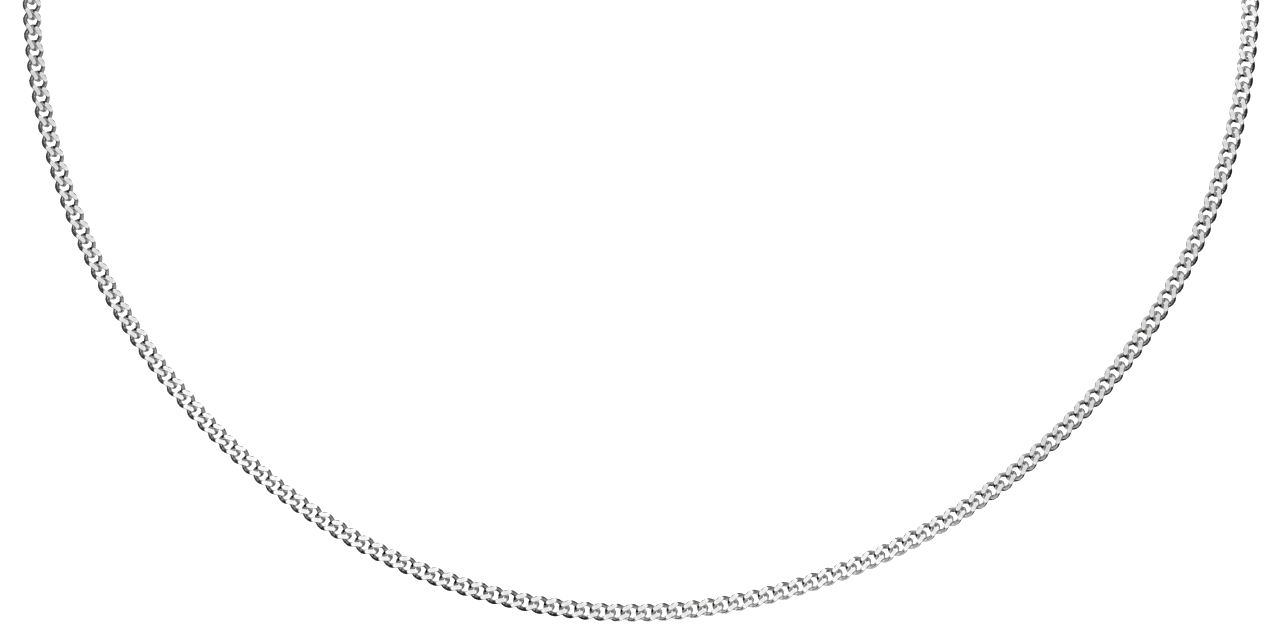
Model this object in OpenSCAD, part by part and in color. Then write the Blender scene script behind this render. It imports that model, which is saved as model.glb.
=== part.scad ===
// Flat curb chain necklace, 45 cm, as it lies round a neck: the front stretch hangs on the chest
// and the back stretch goes over the shoulders to a clasp at the nape.
// Millimetres. +Z is up, +X is to the right as seen from the front, and -Y is the front.
// The origin is where the necklace rests on the nape, under the clasp.

/* [Necklace] */
// Length of the closed necklace along its middle, clasp and rings included
necklace_length = 450; // [440:1:460]
// Length of the front stretch, whose links are built one by one
front_l = 229; // [180:1:229]
// Lean of the front stretch, back from upright
front_lean = 20; // [0:1:35]
// Lean of the stretch at the nape, back from upright
nape_lean = 75; // [50:1:85]

/* [Link] */
// Diameter of the wire
wire_d = 0.56; // [0.53:0.01:0.58]
// Length of the opening inside a link
link_inner_l = 2.06; // [2.02:0.01:2.12]
// Width of the opening inside a link, before the link is twisted
link_inner_w = 1.08; // [1.04:0.01:1.15]
// Turn of each end of a link about the length of the chain
end_turn = 38; // [37:1:44]
// Play between two hooked links along the chain
hook_play = 0.245; // [0.22:0.005:0.27]
// Thickness of the chain between the flats cut on its front and its back
chain_t = 1.02; // [0.94:0.01:1.1]

/* [Clasp] */
// Length of the clasp over its nose and its eye
clasp_l = 10; // [9:0.1:12]
// Width of the clasp
clasp_w = 4.4; // [4:0.1:5]
// Thickness of the clasp
clasp_t = 1.6; // [1.4:0.1:2]
// Width of the rim round the opening of the clasp
clasp_rim = 0.9; // [0.8:0.05:1]
// Outer diameter of the eye
eye_d = 2.8; // [2.6:0.1:3.2]
// Diameter of the hole in the eye
eye_hole_d = 1.6; // [1.5:0.05:1.7]
// Thickness of the eye
eye_t = 0.9; // [0.7:0.05:1]
// Diameter of the wire of both rings
ring_wire_d = 0.6; // [0.5:0.05:0.65]
// Outer diameter of the small ring between the chain and the clasp's eye
clasp_ring_d = 3.6; // [3.4:0.1:4.2]
// Outer diameter of the large ring that the clasp catches
catch_ring_d = 4.6; // [4.2:0.1:5.4]

/* [Hidden] */

SILVER = [0.88, 0.88, 0.87];
BRIGHT_SILVER = [0.95, 0.95, 0.94];

// Gap between pieces that touch on the real chain
REST_GAP = 0.12;
// How far a hole is cut past both faces of its piece
CUT_PAST = 1;
// The clasp's body starts this far over the edge of its eye, and the waist behind its opening is
// as wide as the eye less this on each side
EYE_OVERLAP = 0.4;
WAIST_INSET = 0.3;
// Solid length of the body between the eye and the narrow end of the opening
WAIST_L = 2.2;
// A ring stands nearly edge on to the clasp, turned this far about the length of the chain
RING_TURN = 75;

// The loop as chosen points on its sheet, every 22.5 degrees round from the nape, first along the
// wearer's right: distance from the loop's middle as a share of its mean radius, and the roll of
// the links about the chain
ROUTE_SHARE = 0;
ROUTE_ROLL = 1;
ROUTE = [
    [1.002, 0], [1.003, 6], [1.004, 13], [1.005, 20],
    [1.004, 26], [0.998, 24], [0.999, 21], [1.008, 16],
    [1.010, 15], [0.997, 19], [0.993, 20], [0.998, 19],
    [1.004, 18], [1.004, 14], [1.004, 9], [1.003, 4]
];
ROUTE_STEP = 360 / len(ROUTE);

// The sheet bends back between these two heights above the loop's middle, as shares of its radius
BEND_START = 0.08;
BEND_END = 0.86;

// Directions round a link at which its wire has a section: two on each cut flat and one at each
// side, and both halves of the link alike
HALF_TURNS = [6, 52, 88, 118, 146];
SECTION_TURNS = concat(HALF_TURNS, [for (turn = HALF_TURNS) turn + 180]);
// Sides of the wire of a link
WIRE_SIDES = 5;
// Roundness of a link: 2 is an ellipse, and more is fuller at the shoulders
LINK_FULLNESS = 2.2;
// Share of the half length of a link over which it is twisted
TWIST_REACH = 0.62;
// Degrees either way over which the run of a curve is measured
RUN_STEP = 1;

// Section of the plain back stretch: width and thickness as shares of the half width and half
// thickness of the chain
BACK_SECTION = [
    [1, 0.4], [0.76, 1], [-0.76, 1], [-1, 0.4],
    [-1, -0.4], [-0.76, -1], [0.76, -1], [1, -0.4]
];
// Spacing of the sections of the back stretch, in widths of the chain
BACK_SPACING = 2.3;

function unit(v) = v / norm(v);
function clamp(v, limit) = max(-limit, min(limit, v));
function signed_power(v, exponent) = sign(v) * pow(abs(v), exponent);

// Link: a closed oval of wire, twisted about the chain so that its two ends cross its neighbours'
link_half_l = (link_inner_l + wire_d) / 2;
link_half_w = (link_inner_w + wire_d) / 2;
chain_w = link_inner_w + 2 * wire_d;

// Turn of the link about the chain at a distance along it
function twist_at(along) =
    -end_turn * sign(along) * sin(90 * min(1, abs(along) / (TWIST_REACH * link_half_l)));

// Middle of the wire at a direction round the link
function wire_middle(turn) =
    let(
        along = link_half_l * signed_power(cos(turn), 2 / LINK_FULLNESS),
        across = link_half_w * signed_power(sin(turn), 2 / LINK_FULLNESS),
        twist = twist_at(along)
    )
    [along, across * cos(twist), across * sin(twist)];

wire_top = max([for (turn = SECTION_TURNS) wire_middle(turn).z]);

// One section of the wire. Two corners lie under the nearer flat, and the flats cut them level.
function wire_section(turn) =
    let(
        middle = wire_middle(turn),
        run = unit(wire_middle(turn + RUN_STEP) - wire_middle(turn - RUN_STEP)),
        level = unit(cross(run, [0, 0, 1])),
        rise = cross(level, run),
        side = 360 / WIRE_SIDES,
        first = 90 - side / 2 + side / 4 * (1 - middle.z / wire_top)
    )
    [for (i = [0:WIRE_SIDES - 1])
        let(
            corner = middle + wire_d / 2
                * (cos(first + side * i) * level + sin(first + side * i) * rise)
        )
        [corner.x, corner.y, clamp(corner.z, chain_t / 2)]];

LINK_SECTIONS = [for (turn = SECTION_TURNS) wire_section(turn)];

// Route: the loop's outline on a flat sheet, then the sheet bent back over the shoulders.
// Angles run from the nape at -180, down the wearer's right, through the lowest point at 0.
function route_value(angle, column) =
    let(
        count = len(ROUTE),
        place = (angle + 180) / ROUTE_STEP,
        i = floor(place),
        f = place - i,
        a = ROUTE[(i + count - 1) % count][column],
        b = ROUTE[(i + count) % count][column],
        c = ROUTE[(i + count + 1) % count][column],
        d = ROUTE[(i + count + 2) % count][column]
    )
    b + f / 2 * (c - a + f * (2 * a - 5 * b + 4 * c - d + f * (3 * (b - c) + d - a)));

function outline(angle) =
    route_value(angle, ROUTE_SHARE) * [sin(angle), -cos(angle)];

// Distance along the loop of unit radius against the angle
MEASURE_STEP = 0.5;
DISTANCE = [
    for (
        angle = -180, run = 0;
        angle <= 180;
        run = run + norm(outline(angle + MEASURE_STEP) - outline(angle)),
        angle = angle + MEASURE_STEP
    ) [run, angle]
];
loop_radius = necklace_length / DISTANCE[len(DISTANCE) - 1][0];

function angle_at(distance) = lookup(distance / loop_radius, DISTANCE);

bend_start = BEND_START * loop_radius;
bend_end = BEND_END * loop_radius;
bend_rate = (nape_lean - front_lean) / (bend_end - bend_start);
bend_radius = 180 / (PI * bend_rate);

function lean_at(height) =
    front_lean + bend_rate * (max(bend_start, min(bend_end, height)) - bend_start);

// Place of a height of the flat sheet, as [back, up], once the sheet is bent
function bent(height) =
    let(
        lean = lean_at(height),
        below = min(height, bend_start),
        above = max(height - bend_end, 0)
    )
    below * [sin(front_lean), cos(front_lean)]
    + bend_radius * [cos(front_lean) - cos(lean), sin(lean) - sin(front_lean)]
    + above * [sin(lean), cos(lean)];

nape_place = bent(loop_radius * route_value(180, ROUTE_SHARE));

// Direction out of the sheet, away from the neck, at a lean
function out_of_sheet(lean) = [0, -cos(lean), sin(lean)];

// Frame of the chain at a distance along it: place, along, inwards and outwards, links rolled
function chain_frame(distance) =
    let(
        angle = angle_at(distance),
        flat = loop_radius * outline(angle),
        lean = lean_at(flat.y),
        back_up = bent(flat.y) - nape_place,
        step = unit(outline(angle + RUN_STEP) - outline(angle - RUN_STEP)),
        along = [step.x, step.y * sin(lean), step.y * cos(lean)],
        out = out_of_sheet(lean),
        inwards = cross(out, along),
        roll = route_value(angle, ROUTE_ROLL)
    )
    [
        [flat.x, back_up.x, back_up.y] + clasp_t / 2 * out_of_sheet(nape_lean),
        along,
        cos(roll) * inwards - sin(roll) * out,
        sin(roll) * inwards + cos(roll) * out
    ];

function placed(point, frame) =
    frame[0] + point.x * frame[1] + point.y * frame[2] + point.z * frame[3];

// Clasp and rings along the chain, from the nape's middle. The large ring and the first link
// follow the clasp's nose, and the small ring and the last link come before its eye.
// Where a ring passes through a wall, its hole is narrowest at the wall's faces.
function ring_reach(ring_d, wall_t) =
    sqrt(pow(ring_d / 2 - ring_wire_d, 2) - pow(wall_t / 2 / sin(RING_TURN), 2));

ring_seat = (ring_wire_d + wire_d) / 2 + REST_GAP;
catch_ring_r = (catch_ring_d - ring_wire_d) / 2;
catch_ring_x = clasp_l / 2 - clasp_rim - REST_GAP + ring_reach(catch_ring_d, clasp_t);
first_link = catch_ring_x + catch_ring_r - ring_seat + link_half_l;
clasp_ring_r = (clasp_ring_d - ring_wire_d) / 2;
eye_rim = (eye_d - eye_hole_d) / 2;
clasp_ring_x = -clasp_l / 2 + eye_rim + REST_GAP - ring_reach(clasp_ring_d, eye_t);
last_link = necklace_length + clasp_ring_x - clasp_ring_r + ring_seat - link_half_l;

// Links: an even number, as many as fit at the pitch that their opening and play allow. Those of
// the front stretch are shared evenly about the lowest point.
link_count = 2 * round((last_link - first_link) / (link_inner_l - hook_play) / 2 + 0.5);
pitch = (last_link - first_link) / (link_count - 1);
front_links = 2 * round(front_l / pitch / 2);
front_first = (link_count - front_links) / 2;

function link_distance(i) = first_link + pitch * i;

// Faces of a tube of rings, from one ring to the next, each quad as two triangles. A ring's
// corners run anticlockwise as seen against the way of the tube.
function tube_faces(first_corner, rings, sides, closed) =
    [for (r = [0:rings - (closed ? 1 : 2)], i = [0:sides - 1])
        let(
            near = first_corner + sides * r,
            far = first_corner + sides * ((r + 1) % rings),
            j = (i + 1) % sides
        )
        each [[near + i, near + j, far + j], [near + i, far + j, far + i]]];

module front_chain() {
    corners_each = WIRE_SIDES * len(SECTION_TURNS);
    color(SILVER)
        polyhedron(
            points = [for (n = [0:front_links - 1])
                let(frame = chain_frame(link_distance(front_first + n)))
                for (section = LINK_SECTIONS, corner = section) placed(corner, frame)],
            faces = [for (n = [0:front_links - 1])
                each tube_faces(corners_each * n, len(SECTION_TURNS), WIRE_SIDES, true)],
            convexity = 10
        );
}

// Plain stretch of the chain's width and thickness between two distances along the loop
module plain_stretch(from, to) {
    sides = len(BACK_SECTION);
    rings = 1 + ceil((to - from) / (BACK_SPACING * chain_w));
    last = sides * (rings - 1);
    polyhedron(
        points = [for (r = [0:rings - 1])
            let(frame = chain_frame(from + (to - from) * r / (rings - 1)))
            for (corner = BACK_SECTION)
                placed([0, corner.x * chain_w / 2, corner.y * chain_t / 2], frame)],
        faces = concat(
            tube_faces(0, rings, sides, false),
            [[for (i = [0:sides - 1]) sides - 1 - i]],
            [[for (i = [0:sides - 1]) last + i]]
        ),
        convexity = 4
    );
}

module back_chain() {
    link_end = link_half_l + wire_d / 2 + REST_GAP;
    ring_end = ring_wire_d / 2 + REST_GAP;
    color(SILVER) {
        plain_stretch(
            catch_ring_x + catch_ring_r + ring_end,
            link_distance(front_first) - link_end
        );
        plain_stretch(
            link_distance(front_first + front_links - 1) + link_end,
            necklace_length + clasp_ring_x - clasp_ring_r - ring_end
        );
    }
}

// Lays a piece at the nape: its X along the chain, its Y towards the inside of the loop
module at_nape() {
    rotate([-nape_lean, 0, 0])
        rotate([90, 180, 0])
            translate([0, 0, clasp_t / 2])
                children();
}

// Outline of a large and a small circle on the X axis, joined by their common tangents
module drop(large_r, large_x, small_r, small_x) {
    lean = acos((large_r - small_r) / (large_x - small_x));
    translate([large_x, 0]) circle(r = large_r, $fn = 64);
    translate([small_x, 0]) circle(r = small_r, $fn = 64);
    polygon([
        [large_x - large_r * cos(lean), large_r * sin(lean)],
        [small_x - small_r * cos(lean), small_r * sin(lean)],
        [small_x - small_r * cos(lean), -small_r * sin(lean)],
        [large_x - large_r * cos(lean), -large_r * sin(lean)]
    ]);
}

module clasp() {
    nose_r = clasp_w / 2;
    nose_x = clasp_l / 2 - nose_r;
    eye_x = -clasp_l / 2 + eye_d / 2;
    waist_r = eye_d / 2 - WAIST_INSET;
    waist_x = eye_x + eye_d - EYE_OVERLAP;
    color(BRIGHT_SILVER)
        at_nape() {
            linear_extrude(height = clasp_t, center = true)
                difference() {
                    drop(nose_r, nose_x, waist_r, waist_x);
                    drop(
                        nose_r - clasp_rim, nose_x,
                        waist_r - clasp_rim / 2, waist_x + WAIST_L
                    );
                }
            translate([eye_x, 0, -eye_t / 2])
                difference() {
                    cylinder(d = eye_d, h = eye_t, $fn = 64);
                    translate([0, 0, -CUT_PAST])
                        cylinder(d = eye_hole_d, h = eye_t + 2 * CUT_PAST, $fn = 64);
                }
        }
}

// Round ring of wire in a plane through the chain's length, turned about it
module ring(middle_r, turn) {
    rotate([turn, 0, 0])
        rotate_extrude($fn = 64)
            translate([middle_r, 0]) circle(d = ring_wire_d, $fn = 24);
}

module clasp_ring() {
    color(BRIGHT_SILVER)
        at_nape() translate([clasp_ring_x, 0, 0]) ring(clasp_ring_r, RING_TURN);
}

module catch_ring() {
    color(BRIGHT_SILVER)
        at_nape() translate([catch_ring_x, 0, 0]) ring(catch_ring_r, -RING_TURN);
}

front_chain();
back_chain();
clasp();
clasp_ring();
catch_ring();
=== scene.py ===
import bpy
import numpy as np
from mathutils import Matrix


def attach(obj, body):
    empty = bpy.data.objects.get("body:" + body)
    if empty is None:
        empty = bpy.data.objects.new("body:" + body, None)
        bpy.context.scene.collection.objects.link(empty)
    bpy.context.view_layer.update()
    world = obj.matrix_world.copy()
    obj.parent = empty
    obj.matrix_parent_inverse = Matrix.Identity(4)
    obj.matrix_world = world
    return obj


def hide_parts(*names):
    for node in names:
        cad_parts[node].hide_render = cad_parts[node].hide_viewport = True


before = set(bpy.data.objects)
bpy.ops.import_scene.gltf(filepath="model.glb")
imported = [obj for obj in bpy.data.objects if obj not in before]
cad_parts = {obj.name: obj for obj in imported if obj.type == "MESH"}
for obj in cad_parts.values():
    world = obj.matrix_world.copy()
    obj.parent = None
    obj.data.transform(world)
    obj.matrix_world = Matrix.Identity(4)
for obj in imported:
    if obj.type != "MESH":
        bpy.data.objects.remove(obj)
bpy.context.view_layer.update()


# Front stretch of links
# Closed oval links of round silver wire, each hooked through the next and soldered, then twisted so
# that the chain lies flat. A cutter takes the front and the back level, which leaves a bright flat on
# every link where its wire stands highest.
NECKLACE_L, FRONT_L = 0.450, 0.229
WIRE_D, LINK_INNER_L, HOOK_PLAY = 0.00056, 0.00206, 0.000245
FULLNESS, TWIST_REACH, END_TURN = 2.2, 0.62, np.radians(38)
REST_GAP = 0.00012

# The loop lies on a sheet that leans back, and that bends further back over the shoulders between two
# heights above the loop's middle, given in mean radii.
FRONT_LEAN, NAPE_LEAN = np.radians(20), np.radians(75)
BEND_FROM, BEND_TO = 0.08, 0.86

# The clasp's and the rings' sizes set where the links begin and end.
CLASP_L, CLASP_T, CLASP_RIM = 0.010, 0.0016, 0.0009
EYE_D, EYE_HOLE_D, EYE_T = 0.0028, 0.0016, 0.0009
RING_WIRE_D, CLASP_RING_D, CATCH_RING_D = 0.0006, 0.0036, 0.0046
RING_TURN = np.radians(75)

# The loop at even steps round from the nape, first along the wearer's right: its distance from the
# middle as a share of the mean radius, and the roll of the links about the chain in degrees.
ROUTE_STEP = 22.5
ROUTE = np.array([
    [1.002, 0], [1.003, 6], [1.004, 13], [1.005, 20], [1.004, 26], [0.998, 24], [0.999, 21], [1.008, 16],
    [1.010, 15], [0.997, 19], [0.993, 20], [0.998, 19], [1.004, 18], [1.004, 14], [1.004, 9], [1.003, 4]])


def route_at(angle, column):
    """A column of ROUTE at angles in degrees: the cubic that passes through the nearest four rows."""
    place = (np.asarray(angle, float) + 180) / ROUTE_STEP
    row = np.floor(place).astype(int)
    f = place - row
    a, b, c, d = (ROUTE[(row + k) % len(ROUTE), column] for k in (-1, 0, 1, 2))
    return b + f / 2 * (c - a + f * (2 * a - 5 * b + 4 * c - d + f * (3 * (b - c) + d - a)))


def unit(v):
    """Vectors divided by their lengths."""
    return v / np.linalg.norm(v, axis=-1, keepdims=True)


def outline(angle):
    """The loop on its flat sheet at angles from the lowest point: share times [sin, -cos]."""
    t = np.radians(angle)
    return route_at(angle, 0)[..., None] * np.stack([np.sin(t), -np.cos(t)], -1)


# The outline's length at every half degree gives the mean radius and turns distances into angles.
angles = np.arange(-180, 180.25, 0.5)
run = np.append(0, np.cumsum(np.linalg.norm(np.diff(outline(angles), axis=0), axis=1)))
loop_r = NECKLACE_L / run[-1]
bend_start, bend_end = BEND_FROM * loop_r, BEND_TO * loop_r
bend_r = (bend_end - bend_start) / (NAPE_LEAN - FRONT_LEAN)


def lean_at(height):
    """Lean of the sheet: even below the bend, then growing with height until the bend's end."""
    return FRONT_LEAN + (np.clip(height, bend_start, bend_end) - bend_start) / bend_r


def bent(height):
    """[back, up] of a height of the flat sheet: a straight run, an arc of bend_r, a straight run."""
    height = np.asarray(height, float)[..., None]
    lean = lean_at(height)
    arc = np.concatenate([np.cos(FRONT_LEAN) - np.cos(lean), np.sin(lean) - np.sin(FRONT_LEAN)], -1)
    low = np.minimum(height, bend_start) * np.array([np.sin(FRONT_LEAN), np.cos(FRONT_LEAN)])
    high = np.maximum(height - bend_end, 0) * np.array([np.sin(NAPE_LEAN), np.cos(NAPE_LEAN)])
    return low + bend_r * arc + high


nape = bent(loop_r * route_at(180, 0))
nape_out = np.array([0, -np.cos(NAPE_LEAN), np.sin(NAPE_LEAN)])


def chain_frames(distance):
    """Place, run, inward and outward direction of the chain at distances from the nape: the outline's
    point and step on the sheet, bent with it, and the last two rolled about the run."""
    angle = np.interp(np.asarray(distance) / loop_r, run, angles)
    flat = loop_r * outline(angle)
    lean = lean_at(flat[..., 1])
    back_up = bent(flat[..., 1]) - nape
    step = unit(outline(angle + 1) - outline(angle - 1))
    along = np.stack([step[..., 0], step[..., 1] * np.sin(lean), step[..., 1] * np.cos(lean)], -1)
    out = np.stack([0 * lean, -np.cos(lean), np.sin(lean)], -1)
    inward = np.cross(out, along)
    roll = np.radians(route_at(angle, 1))[..., None]
    place = np.stack([flat[..., 0], back_up[..., 0], back_up[..., 1]], -1) + CLASP_T / 2 * nape_out
    return (place, along, np.cos(roll) * inward - np.sin(roll) * out,
            np.sin(roll) * inward + np.cos(roll) * out)


def ring_reach(ring_d, wall_t):
    """How far a ring's hole reaches past its middle at the faces of a wall that it passes through."""
    return np.sqrt((ring_d / 2 - RING_WIRE_D) ** 2 - (wall_t / 2 / np.sin(RING_TURN)) ** 2)


# Distances along the chain from the nape: the rings' middles, and then the first and the last link,
# each hooked on its ring. Both the whole chain and its front stretch have an even number of links.
half_l = (LINK_INNER_L + WIRE_D) / 2
ring_seat = (RING_WIRE_D + WIRE_D) / 2 + REST_GAP
catch_r, clasp_ring_r = (CATCH_RING_D - RING_WIRE_D) / 2, (CLASP_RING_D - RING_WIRE_D) / 2
catch_x = CLASP_L / 2 - CLASP_RIM - REST_GAP + ring_reach(CATCH_RING_D, CLASP_T)
clasp_ring_x = -CLASP_L / 2 + (EYE_D - EYE_HOLE_D) / 2 + REST_GAP - ring_reach(CLASP_RING_D, EYE_T)
first_link = catch_x + catch_r - ring_seat + half_l
last_link = NECKLACE_L + clasp_ring_x - clasp_ring_r + ring_seat - half_l
link_count = int(2 * round((last_link - first_link) / (LINK_INNER_L - HOOK_PLAY) / 2 + 0.5))
pitch = (last_link - first_link) / (link_count - 1)
front_links = int(2 * round(FRONT_L / pitch / 2))
front_first = (link_count - front_links) // 2

# The finished wire is drawn a little fuller than the plain solid's. Closing the links has spread their
# ends, and pressing the chain flat has spread the wire under each flat.
DRAWN_D, DRAWN_L, DRAWN_W, CUT_T = 0.00058, 0.00258, 0.00164, 0.00099
END_SPREAD, FLAT_SPREAD = 0.16, 0.12

# Middle of the near-black spot of painted shade on a link's outer end in millimetres, placed at its solder
# seam
SEAM_SHADE_AT = (-1.46, 0.28, 0.3)

# Turns round a link at which its wire has a section, in degrees, and the points of a section. One is
# cut where the cutter's level lies below CUT_BELOW of the wire's radius.
TURNS = np.array([0, 29.5, 57, 77.5, 90, 102.5, 123, 150.5])
TURNS = np.append(TURNS, TURNS + 180)
SIDES, CUT_BELOW = 6, 0.99


def wire_middle(turn):
    """Middle of the wire at turns round the link in degrees: a superellipse of power FULLNESS, twisted
    about the chain by a turn that grows as a sine with the distance along it and then stays."""
    c, s = np.cos(np.radians(turn)), np.sin(np.radians(turn))
    along = DRAWN_L / 2 * np.sign(c) * np.abs(c) ** (2 / FULLNESS)
    across = DRAWN_W / 2 * np.sign(s) * np.abs(s) ** (2 / FULLNESS)
    share = np.minimum(1, np.abs(along) / (TWIST_REACH * DRAWN_L / 2))
    twist = -END_TURN * np.sign(along) * np.sin(np.pi / 2 * share)
    return np.stack([along, across * np.cos(twist), across * np.sin(twist)], -1)


def link_grid():
    """Points of a link by turn and side: the wire's circle round its middle, cut by a chord where it
    passes a flat, and widened in the level direction by the flat's spread and by the ends' spread
    times the fourth power of the turn's cosine. The chord's two ends are points 0 and 1 on the front
    and 3 and 4 on the back, and the other points share the rest of the circle. Uncut sections have a
    point every 60 degrees. The second result marks the chords' ends."""
    middle = wire_middle(TURNS)
    tangent = unit(wire_middle(TURNS + 1) - wire_middle(TURNS - 1))
    level = unit(np.cross(tangent, [0, 0, 1.0]))
    rise = np.cross(level, tangent)
    share = (CUT_T / 2 - np.abs(middle[:, 2])) / (DRAWN_D / 2 * rise[:, 2])
    cut = share < CUT_BELOW
    start = np.arcsin(np.where(cut, share, np.sin(np.pi / 3)))
    rest = np.pi - start[:, None] + np.arange(SIDES - 1) / (SIDES - 1) * (np.pi + 2 * start[:, None])
    rest[~cut] = np.radians(np.arange(120, 420, 60))
    phi = np.concatenate([start[:, None], rest], 1)
    back = cut & (middle[:, 2] < 0)
    phi[back] = np.roll(phi[back] + np.pi, 3, axis=1)
    rim = np.zeros(phi.shape, bool)
    rim[cut & ~back, :2] = True
    rim[back, 3:5] = True
    spread = END_SPREAD * np.cos(np.radians(TURNS)) ** 4
    wide = np.cos(phi) * (1 + spread[:, None] + FLAT_SPREAD * rim)
    ring = wide[..., None] * level[:, None] + np.sin(phi)[..., None] * rise[:, None]
    return middle[:, None] + DRAWN_D / 2 * ring, rim


def beside(count):
    """Square table with 1 where two places of a closed ring of count are neighbours."""
    return np.roll(np.eye(count), 1, 0) + np.roll(np.eye(count), -1, 0)


# A flat's rim is a closed line over its chords' ends: from turn to turn, and across at its two tips.
link_points, rim = link_grid()
on_rim = rim.ravel()
both_on_rim = np.outer(on_rim, on_rim)
rim_run = np.kron(beside(len(TURNS)), np.eye(SIDES)) * both_on_rim
at_tip = rim_run.sum(1) == 1
rim_line = rim_run + np.kron(np.eye(len(TURNS)), beside(SIDES)) * both_on_rim * np.outer(at_tip, at_tip)

# Smoothing moves a corner to two thirds of itself and a sixth of each neighbour, round the wire and
# along it, or along the rim's line alone. The corners are those whose smoothed places are the points.
smoothed = np.kron(4 * np.eye(len(TURNS)) + beside(len(TURNS)), 4 * np.eye(SIDES) + beside(SIDES)) / 36
smoothed[on_rim] = ((4 * np.eye(len(on_rim)) + rim_line) / 6)[on_rim]
link_corners = np.linalg.solve(smoothed, link_points.reshape(-1, 3))

turns, sides = np.indices(rim.shape)
next_turn, next_side = (turns + 1) % len(TURNS), (sides + 1) % SIDES
link_quads = np.stack([turns * SIDES + sides, next_turn * SIDES + sides,
                       next_turn * SIDES + next_side, turns * SIDES + next_side], -1).reshape(-1, 4)
quad_on_flat = on_rim[link_quads].all(1)

# Place of each rim corner on its own flat, along it and across it towards the link's opening: 1 at the
# rim and 0 in the middle. Four turns make up a flat.
flat_number = np.where(on_rim, turns.ravel() // 4, -1)
flat_place = np.zeros((len(on_rim), 3))
for number in range(4):
    own = flat_number == number
    middle = link_corners[own, :2].mean(0)
    off = link_corners[own, :2] - middle
    axes = np.linalg.svd(off)[2]
    axes = axes.T * -np.sign(axes @ middle)
    rim_reach = np.abs((link_points.reshape(-1, 3)[own, :2] - middle) @ axes).max(0)
    flat_place[own, :2] = off @ axes / rim_reach


def on_links(points, distance):
    """Points [x, y, z] of a link, on the links at distances: place + x along + y inward + z outward."""
    place, along, inward, outward = (v[:, None] for v in chain_frames(distance))
    return place + points[:, :1] * along + points[:, 1:2] * inward + points[:, 2:] * outward


def gap_to_wire(points, distance):
    """Least distance from points on the links to the wire of the links before and after them: that to
    the wire's middle, taken every 7.5 degrees round a link, less the wire's radius."""
    wire = wire_middle(np.arange(0, 360, 7.5))
    gap = [np.linalg.norm(points[:, :, None] - on_links(wire, distance + step)[:, None], axis=-1).min(-1)
           for step in (-pitch, pitch)]
    return np.minimum(*gap) - DRAWN_D / 2


def chain_of_links(name, numbers):
    """The links of the given numbers as one mesh. The flats get the second material, and their rims
    stay sharp under the smoothing. Attribute chain_place holds each corner's place on the chain,
    flat_place on its flat, and link_place on its link in millimetres, and wire_gap the millimetres to
    the next wire."""
    distance = first_link + pitch * np.asarray(numbers)
    count, corners = len(distance), len(link_corners)
    quads = link_quads + corners * np.arange(count)[:, None, None]
    mesh = bpy.data.meshes.new(name)
    mesh.from_pydata(on_links(link_corners, distance).reshape(-1, 3), [], quads.reshape(-1, 4))
    mesh.polygons.foreach_set("use_smooth", np.ones(len(mesh.polygons), bool))
    mesh.polygons.foreach_set("material_index", np.tile(quad_on_flat, count).astype(np.int32))
    ends = np.empty(2 * len(mesh.edges), np.int32)
    mesh.edges.foreach_get("vertices", ends)
    ends = ends.reshape(-1, 2) % corners
    sharp = rim_line[ends[:, 0], ends[:, 1]] > 0
    mesh.attributes.new("crease_edge", "FLOAT", "EDGE").data.foreach_set("value", sharp.astype(np.float32))
    mesh.attributes.new("sharp_edge", "BOOLEAN", "EDGE").data.foreach_set("value", sharp)
    on_chain = link_corners + np.stack([distance, 0 * distance, 0 * distance], -1)[:, None]
    on_flat, on_link = np.tile(flat_place, (count, 1)), np.tile(1000 * link_corners, (count, 1))
    for label, places in (("chain_place", on_chain), ("flat_place", on_flat), ("link_place", on_link)):
        mesh.attributes.new(label, "FLOAT_VECTOR", "POINT").data.foreach_set("vector", places.ravel())
    gap = 1000 * gap_to_wire(on_links(link_points.reshape(-1, 3), distance), distance)
    mesh.attributes.new("wire_gap", "FLOAT", "POINT").data.foreach_set("value", gap.ravel())
    piece = bpy.data.objects.new(name, mesh)
    bpy.context.scene.collection.objects.link(piece)
    smooth = piece.modifiers.new("drawn round", "SUBSURF")
    smooth.levels = smooth.render_levels = 1
    return piece


def nodes_of(material):
    """The nodes of a new material, and the surface shader that they start with."""
    material.use_nodes = True
    return material.node_tree, material.node_tree.nodes["Principled BSDF"]


def add(tree, kind, settings=None, **inputs):
    """Adds a node: settings are its own choices, and each input is a value or another node's output."""
    node = tree.nodes.new(kind)
    for key, value in (settings or {}).items():
        setattr(node, key, value)
    for key, value in inputs.items():
        socket = node.inputs[int(key[1:])] if key[1:].isdigit() else node.inputs[key.replace("_", " ")]
        if isinstance(value, bpy.types.NodeSocket):
            tree.links.new(value, socket)
        else:
            socket.default_value = value
    return node


def blended(tree, low, high, share):
    """A colour from low to high by a share from 0 to 1."""
    ramp = add(tree, "ShaderNodeValToRGB", i0=share)
    ramp.color_ramp.elements[0].color = (*low, 1)
    ramp.color_ramp.elements[1].color = (*high, 1)
    return ramp.outputs["Color"]


# Where a flat's middle goes over into its rim of painted highlight, and the rim into its long edges of
# painted shade
FLAT_RIM_HIGHLIGHT, FLAT_EDGE_SHADE = (0.56, 0.74), (0.74, 0.84)

# Clouds of about a centimetre in the gloss, and the wave node's scale for one line a metre
WIDE_CLOUDS, LINE_SCALE = 90.0, 0.314

# Values of the mottle that go from one colour to the other, and values of half the marks with the
# clouds that go from the smoothest to the roughest
MOTTLE_SPAN, GLOSS_SPAN = (0.36, 0.64), (0.3, 1.2)


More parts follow.
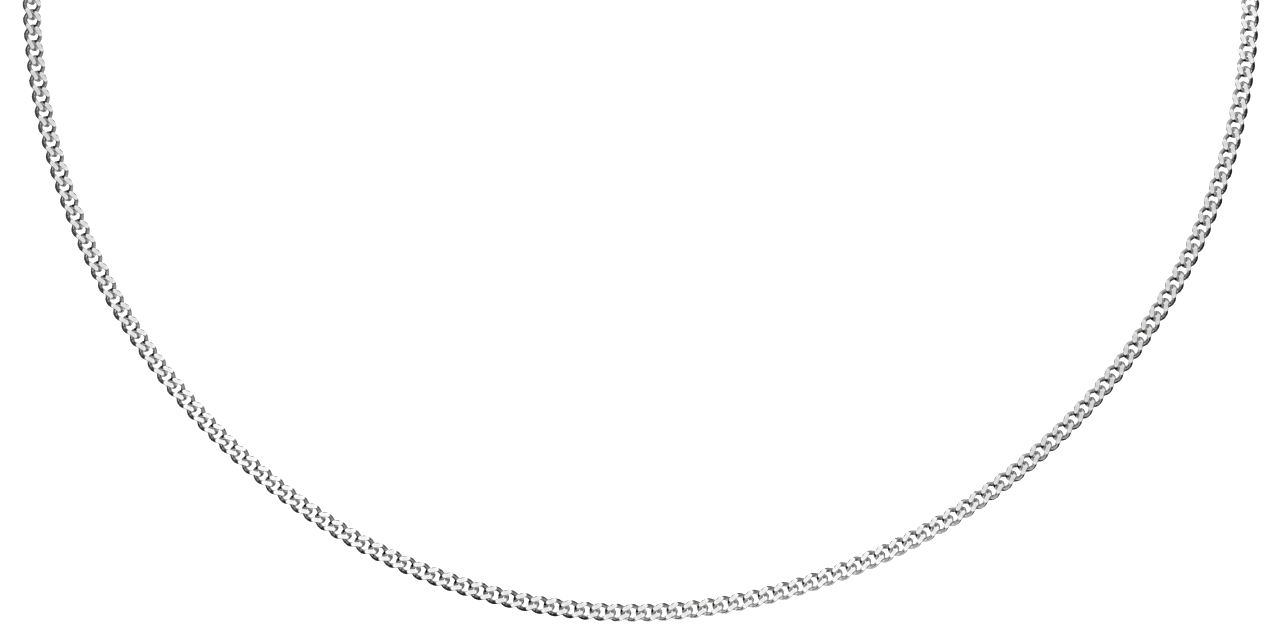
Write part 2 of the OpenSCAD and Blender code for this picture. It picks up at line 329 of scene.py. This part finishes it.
def metal(name, low, high, rough, mottle, marks, painted_flat_tones=None, shade_and_tarnish=()):
    """Polished silver. Its colour goes from low to high by a mottle of that size in metres. Its
    roughness stays within rough, by wide clouds and by a tool's marks, which are lines of [spacing,
    height, slant] in metres and radians across the chain. Flat tones multiply the colour in a flat's
    middle, inside the rim that is left bright as a painted highlight, and on its two long edges, which
    are darkened as painted shade. Shade and tarnish is [tone, from, to] for the recess beside the next
    wire, a painted shade that stands partly for tarnish, and for a near-black spot of painted shade at
    the seam, fading over those millimetres."""
    material = bpy.data.materials.new(name)
    tree, shader = nodes_of(material)
    place = add(tree, "ShaderNodeAttribute", {"attribute_name": "chain_place"}).outputs["Vector"]
    body = add(tree, "ShaderNodeTexCoord").outputs["Object"]
    cloud = add(tree, "ShaderNodeTexNoise", Vector=body, Scale=1 / mottle, Detail=3.0, Roughness=0.6)
    wide = add(tree, "ShaderNodeTexNoise", Vector=body, Scale=WIDE_CLOUDS, Detail=2.0)
    share = add(tree, "ShaderNodeMapRange", Value=cloud.outputs["Fac"], From_Min=MOTTLE_SPAN[0],
                From_Max=MOTTLE_SPAN[1])
    colour = blended(tree, low, high, share.outputs["Result"])
    # Painted highlight and shade on the flats: the middle is darker than the rim, which is left bright as
    # the light its edge catches, and the two long edges are darkened as painted shade.
    if painted_flat_tones:
        flat = add(tree, "ShaderNodeAttribute", {"attribute_name": "flat_place"}).outputs["Vector"]
        away = add(tree, "ShaderNodeVectorMath", {"operation": "LENGTH"}, i0=flat).outputs["Value"]
        across = add(tree, "ShaderNodeSeparateXYZ", i0=flat).outputs["Y"]
        to_rim_highlight = add(tree, "ShaderNodeMapRange", Value=away, From_Min=FLAT_RIM_HIGHLIGHT[0],
                     From_Max=FLAT_RIM_HIGHLIGHT[1], To_Min=painted_flat_tones[0], To_Max=1.0).outputs["Result"]
        off_line = add(tree, "ShaderNodeMath", {"operation": "ABSOLUTE"}, i0=across).outputs["Value"]
        to_edge_shade = add(tree, "ShaderNodeMapRange", Value=off_line, From_Min=FLAT_EDGE_SHADE[0],
                      From_Max=FLAT_EDGE_SHADE[1], To_Min=1.0, To_Max=painted_flat_tones[1]).outputs["Result"]
        tone = add(tree, "ShaderNodeMath", {"operation": "MULTIPLY"}, i0=to_rim_highlight, i1=to_edge_shade)
        colour = add(tree, "ShaderNodeMixRGB", {"blend_type": "MULTIPLY"}, i0=1.0, i1=colour,
                     i2=tone.outputs["Value"]).outputs["Color"]
    # Painted shade, standing partly for tarnish, greys the wire close beside the next wire, and a
    # near-black spot of painted shade lies at the seam.
    if shade_and_tarnish:
        to_wire = add(tree, "ShaderNodeAttribute", {"attribute_name": "wire_gap"}).outputs["Fac"]
        on_link = add(tree, "ShaderNodeAttribute", {"attribute_name": "link_place"}).outputs["Vector"]
        to_seam_shade = add(tree, "ShaderNodeVectorMath", {"operation": "DISTANCE"}, i0=on_link,
                      i1=SEAM_SHADE_AT).outputs["Value"]
        for gap, (tone, start, end) in zip((to_wire, to_seam_shade), shade_and_tarnish):
            clear = add(tree, "ShaderNodeMapRange", Value=gap, From_Min=start, From_Max=end)
            colour = add(tree, "ShaderNodeMixRGB", i0=clear.outputs["Result"],
                         i1=(tone, tone, tone, 1), i2=colour).outputs["Color"]
    tree.links.new(colour, shader.inputs["Base Color"])
    spacing, height, slant = marks
    turned = add(tree, "ShaderNodeMapping", Vector=place, Rotation=(0, 0, slant))
    lines = add(tree, "ShaderNodeTexWave", {"bands_direction": "X"}, Vector=turned.outputs["Vector"],
                Scale=LINE_SCALE / spacing, Distortion=1.5, Detail=2.0, Detail_Scale=1.5)
    mixed = add(tree, "ShaderNodeMath", {"operation": "MULTIPLY_ADD"}, i0=lines.outputs["Fac"], i1=0.5,
                i2=wide.outputs["Fac"])
    gloss = add(tree, "ShaderNodeMapRange", Value=mixed.outputs["Value"], From_Min=GLOSS_SPAN[0],
                From_Max=GLOSS_SPAN[1], To_Min=rough[0], To_Max=rough[1])
    tree.links.new(gloss.outputs["Result"], shader.inputs["Roughness"])
    relief = add(tree, "ShaderNodeBump", Strength=1.0, Distance=height, Height=lines.outputs["Fac"])
    tree.links.new(relief.outputs["Normal"], shader.inputs["Normal"])
    shader.inputs["Metallic"].default_value = 1.0
    return material


# The wire is painted grey where it runs close beside the next link's wire, partly for tarnish where the
# polishing can't reach and partly as painted shade in that crevice, and a near-black spot of painted shade
# sits at each link's solder seam.
recess_and_seam_shade = [(0.12, 0.05, 0.2), (0.01, 0.28, 0.38)]
wire_silver = metal("wire_silver", (0.84, 0.84, 0.835), (0.95, 0.95, 0.945), (0.16, 0.28), 0.00012,
                    (0.00012, 0.000001, 1.2), shade_and_tarnish=recess_and_seam_shade)
# The flats' rims carry a painted highlight and their long edges painted shade.
cut_silver = metal("cut_silver", (0.93, 0.93, 0.93), (0.99, 0.99, 0.985), (0.1, 0.2), 0.00008,
                   (0.00007, 0.0000004, 0.35), (0.88, 0.12))
front = chain_of_links("front_links", np.arange(front_first, front_first + front_links))
front.data.materials.append(wire_silver)
front.data.materials.append(cut_silver)
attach(front, "root")
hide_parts("front_chain")


# Back stretch of links
# The same links go on over the shoulders to the rings of the clasp. In use they rub on the neck and
# the collar, so their silver is a little duller and their flats are more scratched.
# The worn wire carries the same painted shade beside the next wire and at the seam.
worn_wire = metal("worn_wire", (0.78, 0.78, 0.77), (0.92, 0.92, 0.91), (0.14, 0.3), 0.00012,
                  (0.00012, 0.000001, 1.2), shade_and_tarnish=recess_and_seam_shade)
# Their flats carry the same painted rim highlight and edge shade, a little weaker.
worn_flat = metal("worn_flat", (0.8, 0.8, 0.79), (0.93, 0.93, 0.925), (0.18, 0.34), 0.0001,
                  (0.00009, 0.0000008, 0.9), (0.9, 0.3))
back_numbers = np.append(np.arange(front_first), np.arange(front_first + front_links, link_count))
back = chain_of_links("back_links", back_numbers)
back.data.materials.append(worn_wire)
back.data.materials.append(worn_flat)
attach(back, "root")
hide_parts("back_chain")


# Clasp
# A lobster clasp cast in silver and tumbled smooth: a flat drop-shaped body round its opening, and a
# thinner eye at its narrow end. It is drawn shut and in one piece.
CLASP_W, EYE_OVERLAP, WAIST_INSET, WAIST_L = 0.0044, 0.0004, 0.0003, 0.0022
TUMBLED_EDGE, EDGE_STEPS = 0.00026, 4


def at_nape(points):
    """Place of points given as [along the chain, inward, outward] from the middle of the nape."""
    frame_rows = np.array([[-1, 0, 0], [0, -np.sin(NAPE_LEAN), -np.cos(NAPE_LEAN)], nape_out])
    return points @ frame_rows + CLASP_T / 2 * nape_out


def drop_outline(large_r, large_x, small_r, small_x, count=96):
    """Count points evenly along the outline round two circles on the long axis and their common
    tangents: at each direction, the circle that reaches further that way gives the point."""
    way = np.linspace(0, 2 * np.pi, 1441)
    facing = np.stack([np.cos(way), np.sin(way)], -1)
    on_large = (large_x - small_x) * facing[:, 0] + large_r - small_r >= 0
    curve = np.where(on_large, large_r, small_r)[:, None] * facing
    curve[:, 0] += np.where(on_large, large_x, small_x)
    gone = np.append(0, np.cumsum(np.linalg.norm(np.diff(curve, axis=0), axis=1)))
    even = np.arange(count) / count * gone[-1]
    return np.stack([np.interp(even, gone, curve[:, 0]), np.interp(even, gone, curve[:, 1])], -1)


def band(outer, inner, thickness):
    """Four corners at each point between two outlines: outer and inner edge, back and front face."""
    corners = np.stack([outer, outer, inner, inner], 1)
    height = np.broadcast_to(np.array([-1, 1, 1, -1]) * thickness / 2, corners.shape[:2])
    return np.concatenate([corners, height[..., None]], -1)


def closed_tubes(name, grids, material):
    """One mesh of grids [round, section, xyz] that close both ways, laid at the nape. Attribute
    chain_place holds each corner's own place before that."""
    quads, first = [], 0
    for grid in grids:
        i, j = np.indices(grid.shape[:2])
        i2, j2 = (i + 1) % grid.shape[0], (j + 1) % grid.shape[1]
        wide = grid.shape[1]
        ring = np.stack([i * wide + j, i2 * wide + j, i2 * wide + j2, i * wide + j2], -1)
        quads.append(first + ring.reshape(-1, 4))
        first += grid.shape[0] * wide
    points = np.concatenate([grid.reshape(-1, 3) for grid in grids])
    mesh = bpy.data.meshes.new(name)
    mesh.from_pydata(at_nape(points), [], np.concatenate(quads))
    mesh.polygons.foreach_set("use_smooth", np.ones(len(mesh.polygons), bool))
    mesh.attributes.new("chain_place", "FLOAT_VECTOR", "POINT").data.foreach_set("vector", points.ravel())
    mesh.materials.append(material)
    piece = bpy.data.objects.new(name, mesh)
    bpy.context.scene.collection.objects.link(piece)
    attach(piece, "root")
    return piece


nose_r = CLASP_W / 2
nose_x = CLASP_L / 2 - nose_r
eye_x = -CLASP_L / 2 + EYE_D / 2
waist_r = EYE_D / 2 - WAIST_INSET
waist_x = eye_x + EYE_D - EYE_OVERLAP
body = band(drop_outline(nose_r, nose_x, waist_r, waist_x),
            drop_outline(nose_r - CLASP_RIM, nose_x, waist_r - CLASP_RIM / 2, waist_x + WAIST_L), CLASP_T)
eye_edge, eye_hole = (drop_outline(d / 2, eye_x, d / 2, eye_x) for d in (EYE_D, EYE_HOLE_D))
eye = band(eye_edge, eye_hole, EYE_T)
cast_silver = metal("cast_silver", (0.82, 0.82, 0.81), (0.94, 0.94, 0.93), (0.1, 0.26), 0.0003,
                    (0.0002, 0.0000015, 0.2))
clasp = closed_tubes("lobster_clasp", [body, eye], cast_silver)
tumbled = clasp.modifiers.new("tumbled edges", "BEVEL")
tumbled.width, tumbled.segments, tumbled.limit_method = TUMBLED_EDGE, EDGE_STEPS, "ANGLE"
tumbled.harden_normals = True
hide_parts("clasp")


# Small ring
# A ring of drawn silver wire that joins the last link to the clasp's eye, bent round and soldered
# shut. The joint shows as a fine groove.
JOINT_AT, JOINT_HALF, JOINT_DEPTH = 2.4, 0.022, 0.1

# The wire's sections at the joint, in half joints from its middle, and then the even ones of the rest
# of the ring, which stay a turn of JOINT_CLEAR away from it, and the points of a section
JOINT_SECTIONS, JOINT_CLEAR = np.array([-2.2, -1.4, -0.7, 0, 0.7, 1.4, 2.2]), 0.12
RING_SECTIONS, RING_SIDES = 60, 16

# The chain is already bending where the rings hang in it, so each swings a little after its end link.
RING_AWAY, RING_IN, RING_SWING = 0.0001, 0.0002, np.radians(5)


def soldered_ring(middle_r, middle_x, turn):
    """Grid of a ring: a circle of wire, narrowed at the joint by a bell curve of the angle from it,
    carried round a circle that is turned about the chain. The whole is then swung about the outward
    direction and moved away from the clasp and in."""
    near = JOINT_HALF * JOINT_SECTIONS
    even = JOINT_AT + np.linspace(JOINT_CLEAR, 2 * np.pi - JOINT_CLEAR, RING_SECTIONS)
    u = np.append(JOINT_AT + near, even)[:, None]
    v = np.arange(RING_SIDES)[None] / RING_SIDES * 2 * np.pi
    away = (u - JOINT_AT + np.pi) % (2 * np.pi) - np.pi
    wire_r = RING_WIRE_D / 2 * (1 - JOINT_DEPTH * np.exp(-(away / JOINT_HALF) ** 2))
    reach = middle_r + wire_r * np.cos(v)
    x, y, z = reach * np.cos(u), reach * np.sin(u), wire_r * np.sin(v)
    y, z = y * np.cos(turn) - z * np.sin(turn), y * np.sin(turn) + z * np.cos(turn)
    side = np.sign(middle_x)
    c, s = np.cos(side * RING_SWING), np.sin(side * RING_SWING)
    return np.stack([middle_x + side * RING_AWAY + c * x - s * y, RING_IN + s * x + c * y, z], -1)


ring_silver = metal("ring_silver", (0.84, 0.84, 0.835), (0.95, 0.95, 0.945), (0.08, 0.22), 0.00015,
                    (0.00015, 0.000001, 1.5))
small_ring = closed_tubes("small_ring", [soldered_ring(clasp_ring_r, clasp_ring_x, RING_TURN)], ring_silver)
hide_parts("clasp_ring")


# Large ring
# The ring on the chain's first link that the clasp catches, bent from the same drawn silver wire and
# soldered shut. It is the larger of the two, which makes it easy to catch.
large_ring = closed_tubes("large_ring", [soldered_ring(catch_r, catch_x, -RING_TURN)], ring_silver)
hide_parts("catch_ring")


# Studio
# A light tent that is white on the camera's side and grey behind, with dull cards for the silver to
# mirror, over a plain pale floor. The camera looks square at the sheet on which the front lies.
tent_axis = np.array([0, -np.cos(FRONT_LEAN), np.sin(FRONT_LEAN)])
up_sheet = np.array([0, np.sin(FRONT_LEAN), np.cos(FRONT_LEAN)])
rightward = np.array([1, 0, 0])
loop_middle = np.array([0, -nape[0], -nape[1]]) + CLASP_T / 2 * nape_out

# The loop's middle is at LOOP_AT in an image of that size, and a pixel is PIXEL metres on the sheet.
IMAGE_W, IMAGE_H, LOOP_AT, PIXEL = 1280, 639, (641, 0), 0.00011775
LENS, SENSOR = 135, 36
target = (loop_middle - (IMAGE_H / 2 - LOOP_AT[1]) * PIXEL * up_sheet
          + (IMAGE_W / 2 - LOOP_AT[0]) * PIXEL * rightward)
lens = bpy.data.cameras.new("camera")
lens.lens, lens.sensor_width = LENS, SENSOR
lens.clip_start, lens.clip_end = 0.01, 50
camera = bpy.data.objects.new("camera", lens)
bpy.context.scene.collection.objects.link(camera)
camera.location = target + IMAGE_W * PIXEL * LENS / SENSOR * tent_axis
camera.rotation_euler = (np.pi / 2 - FRONT_LEAN, 0, 0)
bpy.context.scene.camera = camera

world = bpy.data.worlds.new("light_tent")
bpy.context.scene.world = world
world.use_nodes = True
tent = world.node_tree
way = add(tent, "ShaderNodeTexCoord").outputs["Generated"]


def part_of_tent(middle, start, end, low=0.0, high=1.0):
    """Share of each direction in a part of the tent: its dot product with that part's middle, taken
    from start to end onto low to high."""
    toward = add(tent, "ShaderNodeVectorMath", {"operation": "DOT_PRODUCT"}, i0=way, i1=tuple(middle))
    return add(tent, "ShaderNodeMapRange", Value=toward.outputs["Value"], From_Min=start, From_Max=end,
               To_Min=low, To_Max=high).outputs["Result"]


def tent_tone(levels):
    """Light by direction: grey levels at cosines of the angle from the camera's side of the tent."""
    tone = add(tent, "ShaderNodeValToRGB", i0=part_of_tent(tent_axis, -1.0, 1.0))
    stops = tone.color_ramp.elements
    for number, (cosine, level) in enumerate(levels):
        last = number == len(levels) - 1
        stop = stops[0] if number == 0 else stops[-1] if last else stops.new((cosine + 1) / 2)
        stop.position = (cosine + 1) / 2
        stop.color = (level, level, level, 1)
    return tone.outputs["Color"]


def mixed_light(share, first, second):
    """Light that goes from the first to the second by a share from 0 to 1."""
    return add(tent, "ShaderNodeMixRGB", i0=share, i1=first, i2=second).outputs["Color"]


# The back is the same all round. Towards the camera the lower left is white, the right is between it
# and the grey of the sides, and the roof is white as far as the right wall.
back_levels = [(-1, 0.7), (-0.87, 0.5), (-0.42, 0.48), (-0.26, 0.52), (0.65, 0.54)]
sides_tone = tent_tone(back_levels + [(0.71, 0.76), (1, 0.8)])
roof_tone = tent_tone(back_levels + [(0.71, 1.12), (1, 1.14)])
left_tone = tent_tone(back_levels + [(0.71, 1.06), (1, 1.08)])
left = part_of_tent(unit(-rightward - up_sheet), 0.2, 0.32)
right = part_of_tent(rightward, 0.2, 0.5, 0.0, 0.4)
short_of_wall = part_of_tent(rightward, 0.42, 0.52, 1.0, 0.0)
roof = add(tent, "ShaderNodeMath", {"operation": "MULTIPLY"}, i0=short_of_wall,
           i1=part_of_tent(up_sheet + 0.2 * rightward, 0.42, 0.48)).outputs["Value"]
walls = mixed_light(right, mixed_light(left, sides_tone, left_tone), left_tone)
light = mixed_light(roof, walls, roof_tone)

# Behind the viewer's lower left the tent is white, so the wire's lowest edge melts into the ground.
glow = part_of_tent(unit(-0.6 * rightward - 0.45 * up_sheet - 0.66 * tent_axis), 0.8, 0.86)
light = mixed_light(glow, light, (1.1, 1.1, 1.1, 1))
tent.links.new(light, tent.nodes["Background"].inputs["Color"])


def dull_sheet(name, tone, corners):
    """A flat sheet between four corners, of a grey tone and dull. The second result is its shader."""
    mesh = bpy.data.meshes.new(name)
    mesh.from_pydata(corners, [], [(0, 1, 2, 3)])
    sheet = bpy.data.objects.new(name, mesh)
    bpy.context.scene.collection.objects.link(sheet)
    material = bpy.data.materials.new(name)
    shader = nodes_of(material)[1]
    shader.inputs["Base Color"].default_value = (tone, tone, tone, 1)
    shader.inputs["Roughness"].default_value = 0.9
    mesh.materials.append(material)
    return sheet, shader


def dark_card(name, tone, corner, first_edge, second_edge):
    """A dull card that the silver mirrors: a corner and two edges as [right, up the sheet, towards
    the camera] in metres from the loop's middle. The camera sees past it."""
    axes = np.array([rightward, up_sheet, tent_axis])
    corners = np.array([corner, np.add(corner, first_edge), np.add(corner, first_edge) + second_edge,
                        np.add(corner, second_edge)]) @ axes + loop_middle
    card = dull_sheet(name, tone, corners)[0]
    card.visible_camera = False


dark_card("card_left", 0.05, (-0.095, -0.045, -0.04), (0, 0.105, 0), (0, 0, 0.10))
dark_card("card_left_below", 0.01, (-0.095, -0.20, -0.04), (0, 0.155, 0), (0, 0, 0.18))
dark_card("card_low_right", 0.03, (0.045, -0.095, -0.06), (0.167, 0, 0), (0, 0, 0.185))
dark_card("card_behind", 0.01, (0.01, -0.042, -0.10), (0.032, 0, 0), (0, 0, 0.092))
dark_card("card_low_left", 0.01, (-0.15, -0.082, -0.03), (0.141, 0, 0), (0, 0, 0.045))
dark_card("card_far_right", 0.01, (0.1, -0.14, -0.06), (0, 0.135, 0), (0, 0, 0.075))

# The pale floor gives light of its own, which keeps it an even white, and isn't seen in the silver.
FLOOR_Z, FLOOR_HALF = -0.30, 30
floor, floor_shader = dull_sheet("floor", 0.95, [
    (-FLOOR_HALF, -FLOOR_HALF, FLOOR_Z), (FLOOR_HALF, -FLOOR_HALF, FLOOR_Z),
    (FLOOR_HALF, FLOOR_HALF, FLOOR_Z), (-FLOOR_HALF, FLOOR_HALF, FLOOR_Z)])
floor_shader.inputs["Emission Color"].default_value = (1, 1, 1, 1)
floor_shader.inputs["Emission Strength"].default_value = 1.0
floor.visible_glossy = False

bpy.context.scene.view_settings.view_transform = "Standard"
